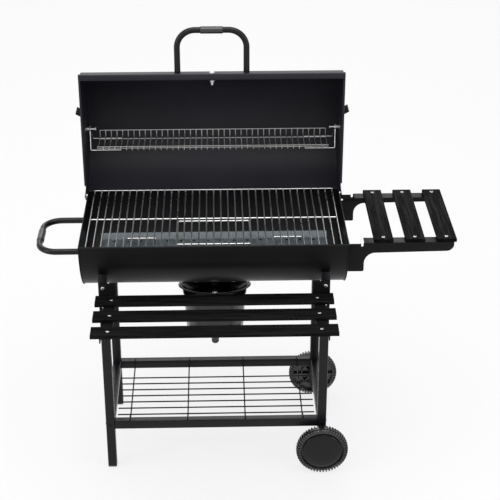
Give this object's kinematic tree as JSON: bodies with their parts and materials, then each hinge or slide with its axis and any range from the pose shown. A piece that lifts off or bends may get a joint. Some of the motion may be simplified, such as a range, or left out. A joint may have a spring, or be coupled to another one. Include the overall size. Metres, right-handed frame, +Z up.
{
  "type": "barrel charcoal grill trolley",
  "caption": "Barrel charcoal grill on a wheeled stand, with hinged drum lid, lift-out grate and coal tray, ash bucket, slatted side table, slatted front shelf and wire lower shelf.",
  "frame": {"origin": "middle of the floor space that the whole trolley covers, on the floor", "axes": "+Z up, -Y towards the cook, +X towards the side table and the wheels"},
  "size_m": [1.139, 0.763, 1.195],
  "materials": {
    "black_paint": "satin heat-resistant black paint on sheet steel, faint orange peel",
    "black_wire": "semi-gloss black powder coat on wire",
    "bucket_enamel": "glossy black enamel",
    "bright_wire": "bright nickel-chrome plated steel wire",
    "galvanised": "galvanised sheet steel with a soft spangle",
    "zinc_plate": "bright zinc plate",
    "black_wood": "black-stained softwood with open grain",
    "black_plastic": "black moulded plastic with a fine texture",
    "gloss_plastic": "glossy black moulded plastic"
  },
  "bodies": {
    "trolley": {"firebox_shell": "black_paint", "firebox_end_left": "black_paint", "firebox_end_right": "black_paint", "carry_handle": "black_paint", "leg_front_left": "black_paint", "leg_front_right": "black_paint", "leg_rear_left": "black_paint", "leg_rear_right": "black_paint", "rail_front": "black_paint", "rail_rear": "black_paint", "rail_left": "black_paint", "rail_right": "black_paint", "shelf_bracket_left": "black_paint", "shelf_bracket_right": "black_paint", "table_bracket_front": "black_paint", "table_bracket_rear": "black_paint", "wire_shelf": "black_wire", "ash_dish": "bucket_enamel", "hinge_pin_left": "zinc_plate", "hinge_pin_right": "zinc_plate", "axle": "zinc_plate", "ash_rod": "zinc_plate", "table_screw_1_front": "zinc_plate", "table_screw_1_rear": "zinc_plate", "table_screw_2_front": "zinc_plate", "table_screw_2_rear": "zinc_plate", "table_screw_3_front": "zinc_plate", "table_screw_3_rear": "zinc_plate", "shelf_slat_1": "black_wood", "shelf_slat_2": "black_wood", "shelf_slat_3": "black_wood", "table_slat_1": "black_wood", "table_slat_2": "black_wood", "table_slat_3": "black_wood", "carry_handle_grip": "black_plastic", "foot_front_left": "black_plastic", "foot_rear_left": "black_plastic"},
    "grate": {"cooking_grate": "bright_wire"},
    "tray": {"coal_tray": "galvanised", "coal_tray_handle_left": "bright_wire", "coal_tray_handle_right": "bright_wire"},
    "lid": {"lid_shell": "black_paint", "lid_end_left": "black_paint", "lid_end_right": "black_paint", "lid_bolt": "zinc_plate", "lid_handle": "black_paint", "lid_handle_grip": "black_plastic", "vent_rivet_left": "zinc_plate", "vent_rivet_right": "zinc_plate", "rack_pin_left": "zinc_plate", "rack_pin_right": "zinc_plate"},
    "rack": {"warming_rack": "bright_wire"},
    "damper_left": {"vent_damper_left": "black_paint"},
    "damper_right": {"vent_damper_right": "black_paint"},
    "front_wheel": {"wheel_front": "black_plastic", "hub_cap_front": "gloss_plastic"},
    "rear_wheel": {"wheel_rear": "black_plastic", "hub_cap_rear": "gloss_plastic"},
    "bucket": {"ash_bucket": "bucket_enamel"},
    "knob": {"ash_knob": "black_plastic"}
  },
  "joints": [
    {"name": "lid_hinge", "type": "hinge", "parent": "trolley", "child": "lid", "pos_m": [-0.08055, 0.1805, 0.703], "axis": [1, 0, 0], "range_deg": [0, 90]},
    {"name": "rack_swing", "type": "hinge", "parent": "lid", "child": "rack", "pos_m": [-0.08055, 0.2845, 0.867], "axis": [1, 0, 0], "range_deg": [-90, 0]},
    {"name": "left_vent", "type": "hinge", "parent": "lid", "child": "damper_left", "pos_m": [-0.44955, 0.2655, 0.874], "axis": [1, 0, 0], "range_deg": [0, 45]},
    {"name": "right_vent", "type": "hinge", "parent": "lid", "child": "damper_right", "pos_m": [0.28845, 0.2655, 0.874], "axis": [1, 0, 0], "range_deg": [0, 45]},
    {"name": "grate_lift", "type": "slide", "parent": "trolley", "child": "grate", "axis": [0, 0, 1], "range_m": [0, 0.012]},
    {"name": "tray_lift", "type": "slide", "parent": "trolley", "child": "tray", "axis": [0, 0, 1], "range_m": [0, 0.03]},
    {"name": "front_wheel_spin", "type": "hinge", "parent": "trolley", "child": "front_wheel", "pos_m": [0.21995, -0.1935, 0.074], "axis": [0, 1, 0], "continuous": true},
    {"name": "rear_wheel_spin", "type": "hinge", "parent": "trolley", "child": "rear_wheel", "pos_m": [0.21995, 0.2125, 0.074], "axis": [0, 1, 0], "continuous": true},
    {"name": "bucket_slide", "type": "slide", "parent": "trolley", "child": "bucket", "axis": [0, 0, -1], "range_m": [0, 0.14]},
    {"name": "knob_turn", "type": "hinge", "parent": "bucket", "child": "knob", "pos_m": [-0.08055, 0.0095, 0.32], "axis": [0, 0, 1], "continuous": true}
  ],
  "couplings": [
    {"joint": "rack_swing", "follows": "lid_hinge", "ratio": -1}
  ]
}
